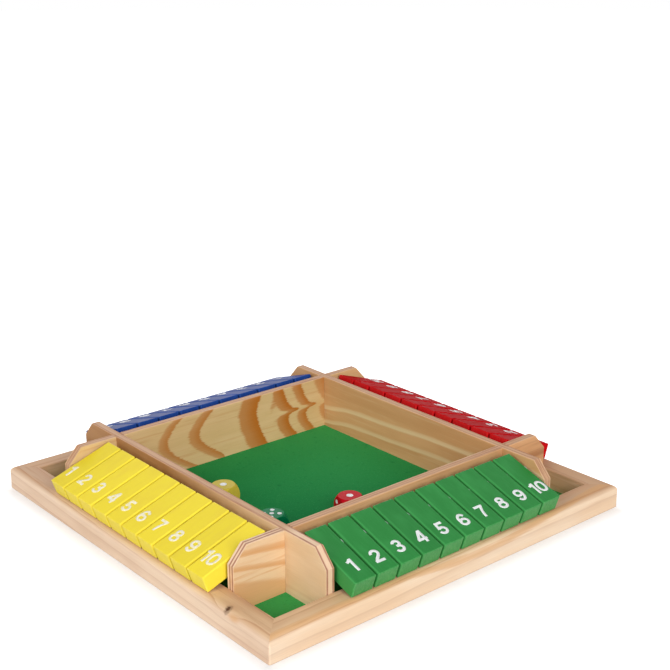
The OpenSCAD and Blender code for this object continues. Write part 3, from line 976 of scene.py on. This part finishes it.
pipLook = {  # mm: the dimple of a pip, the wider one on the ace, and the coat of paint in them
    "wide": 3.2, "aceWide": 4.8, "deep": 0.5, "step": 3.6, "coat": 0.05, "inset": 0.06,
    "sides": 28, "rings": 4,
}
faceTurns = {1: (0, 0), 2: (90, 0), 3: (0, 90), 4: (0, -90), 5: (-90, 0), 6: (180, 0)}  # about X, about Y
diceLying = {  # turn on the table in degrees, face on top
    "yellow_die_1": (12, 1), "yellow_die_2": (8, 4), "red_die_1": (-14, 1), "red_die_2": (33, 6),
    "green_die_1": (3, 5), "green_die_2": (-12, 2), "blue_die_1": (21, 3), "blue_die_2": (-30, 5),
}


def pipPlaces(value):
    places = [(0, 0)] if value % 2 else []
    if value > 1:
        places += [(-1, 1), (1, -1)]
    if value > 3:
        places += [(-1, -1), (1, 1)]
    if value == 6:
        places += [(-1, 0), (1, 0)]
    return places


def faceTurn(value):
    aboutX, aboutY = faceTurns[value]
    return Matrix.Rotation(math.radians(aboutY), 4, "Y") @ Matrix.Rotation(math.radians(aboutX), 4, "X")


def makePipTree():  # a thin dished disc of paint on every point, facing out of its dimple
    tree, given, result = newShapeTree("pipPaint", [
        ("Deep", "f", 0.0005), ("Coat", "f", 0.00005), ("Paint", "m", None)])
    disc = put(tree, "GeometryNodeMeshCylinder", {
        "Vertices": pipLook["sides"], "Side Segments": 1, "Fill Segments": pipLook["rings"],
        "Radius": 1.0, "Depth": 1.0})
    place = put(tree, "GeometryNodeInputPosition").outputs[0]
    flatPlace = stretched(tree, place, (1, 1, 0))
    reach = lengthOf(tree, flatPlace)
    dish = minus(tree, times(tree, reach, reach), 1.0)
    dish = times(tree, dish, given["Deep"])
    height = timesPlus(tree, parted(tree, place)["Z"], given["Coat"], dish)
    moved = vectors(tree, "ADD", flatPlace, joined(tree, 0.0, 0.0, height))
    dished = put(tree, "GeometryNodeSetPosition", {"Geometry": disc.outputs["Mesh"], "Position": moved})
    facing, radius = (
        put(tree, "GeometryNodeInputNamedAttribute", {"Name": label}, data_type=kind).outputs[0]
        for label, kind in (("facing", "FLOAT_VECTOR"), ("radius", "FLOAT")))
    turn = put(tree, "FunctionNodeAlignRotationToVector", {"Vector": facing}, axis="Z").outputs[0]
    size = joined(tree, radius, radius, 1.0)
    spots = put(tree, "GeometryNodeInstanceOnPoints", {
        "Points": given["Geometry"], "Instance": dished.outputs[0], "Rotation": turn, "Scale": size})
    return finishShape(tree, spots.outputs[0], given["Paint"], result)


def paintPips():
    tree = makePipTree()
    for die, (turn, top) in diceLying.items():
        low, high = (Vector(corner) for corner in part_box(die))
        half = (high.z - low.z) / 2
        points, facings, radii = [], [], []
        for value in faceTurns:
            for x, y in pipPlaces(value):
                spot = Vector((x * pipLook["step"] * mm, y * pipLook["step"] * mm, half))
                points.append(faceTurn(value) @ spot)
                facings += list(faceTurn(value) @ Vector((0, 0, 1)))
                wide = pipLook["aceWide"] if value == 1 else pipLook["wide"]
                radii.append((wide / 2 - pipLook["inset"]) * mm)
        mesh = bpy.data.meshes.new(die + "Points")
        mesh.from_pydata(points, [], [])
        mesh.attributes.new("facing", "FLOAT_VECTOR", "POINT").data.foreach_set("vector", facings)
        mesh.attributes.new("radius", "FLOAT", "POINT").data.foreach_set("value", radii)
        place = (Matrix.Translation((low + high) / 2) @ Matrix.Rotation(math.radians(turn), 4, "Z")
                 @ faceTurn(top).inverted())
        values = {"Deep": pipLook["deep"] * mm, "Coat": pipLook["coat"] * mm, "Paint": whitePrint}
        piece = grow(die + "_pips", mesh, tree, values, place)
        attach(piece, die)


paintPips()
print("pips painted")


studioLook = {  # soft lamps that stand low; metres and watts
    "ambient": 0.33, "floor": 0.8, "floorRough": 0.9, "floorRadius": 6.0, "floorSides": 96,
    "floorDrop": 0.2 * mm,
    "glow": (0.18, 0.85), "paintedShadowSpan": (0.148, 0.168), "shift": 0.004,  # painted contact shadow: the floor's glow is lowest next to the rails and rises past them
    "lamps": {
        "keyLamp": {"turn": -16, "rise": 27, "away": 2.2, "size": 1.2, "power": 28},
        "fillLamp": {"turn": -84, "rise": 26, "away": 2.0, "size": 1.2, "power": 15},
        "backLamp": {"turn": 152, "rise": 30, "away": 2.2, "size": 1.2, "power": 12},
    },
}


def seenRay(tree):
    path = put(tree, "ShaderNodeLightPath").outputs
    mirrored = sums(tree, "MAXIMUM", path["Is Glossy Ray"], path["Is Transmission Ray"])
    return sums(tree, "MAXIMUM", path["Is Camera Ray"], mirrored)


def makeStudio():
    world = bpy.data.worlds.new("studio")
    bpy.context.scene.world = world
    world.use_nodes = True
    tree = world.node_tree
    ambient = studioLook["ambient"]
    background = tree.nodes["Background"]
    background.inputs["Color"].default_value = (1, 1, 1, 1)
    strength = timesPlus(tree, seenRay(tree), 1 - ambient, ambient)
    tree.links.new(strength, background.inputs["Strength"])

    under = (0, 0, -studioLook["floorDrop"])
    sides, radius = studioLook["floorSides"], studioLook["floorRadius"]
    bpy.ops.mesh.primitive_circle_add(vertices=sides, radius=radius, fill_type="NGON", location=under)
    floor = bpy.context.object
    floor.name = "studioFloor"
    material, tree, shader = newMaterial("studioWhite")
    white = studioLook["floor"]
    shader.inputs["Base Color"].default_value = (white, white, white, 1)
    shader.inputs["Roughness"].default_value = studioLook["floorRough"]
    shader.inputs["Specular IOR Level"].default_value = 0.0
    shader.inputs["Emission Color"].default_value = (1, 1, 1, 1)
    parts = parted(tree, put(tree, "ShaderNodeTexCoord").outputs["Object"])
    # painted contact shadow: the glow seen by the camera drops close to the rails
    away = sums(tree, "MAXIMUM", *(
        sums(tree, "ABSOLUTE", plus(tree, parts[axis], studioLook["shift"])) for axis in "XY"))
    glow = between(tree, away, *studioLook["paintedShadowSpan"], *studioLook["glow"])
    tree.links.new(times(tree, seenRay(tree), glow), shader.inputs["Emission Strength"])
    floor.data.materials.append(material)

    for name, lamp in studioLook["lamps"].items():
        data = bpy.data.lights.new(name, "AREA")
        data.shape = "DISK"
        data.size = lamp["size"]
        data.energy = lamp["power"]
        thing = bpy.data.objects.new(name, data)
        bpy.context.scene.collection.objects.link(thing)
        turn, rise = math.radians(lamp["turn"]), math.radians(lamp["rise"])
        toward = Vector((math.sin(turn) * math.cos(rise), -math.cos(turn) * math.cos(rise), math.sin(rise)))
        thing.location = toward * lamp["away"]
        thing.rotation_euler = (-toward).to_track_quat("-Z", "Y").to_euler()


cameraLook = {"place": (-0.5008, -0.6160, 0.37346), "aim": (0.02433, -0.00036, 0.11322), "roll": -0.129,
              "lens": 67.01, "sensor": 36, "nearest": 0.01, "farthest": 50}


def makeCamera():
    place = Vector(cameraLook["place"])
    data = bpy.data.cameras.new("studioCamera")
    data.lens = cameraLook["lens"]
    data.sensor_width = cameraLook["sensor"]
    data.clip_start = cameraLook["nearest"]
    data.clip_end = cameraLook["farthest"]
    camera = bpy.data.objects.new("studioCamera", data)
    bpy.context.scene.collection.objects.link(camera)
    look = (Vector(cameraLook["aim"]) - place).to_track_quat("-Z", "Y").to_matrix().to_4x4()
    roll = Matrix.Rotation(math.radians(cameraLook["roll"]), 4, "Z")
    camera.matrix_world = Matrix.Translation(place) @ look @ roll
    bpy.context.scene.camera = camera


makeStudio()
makeCamera()
bpy.context.scene.view_settings.view_transform = "Standard"
print("studio ready")
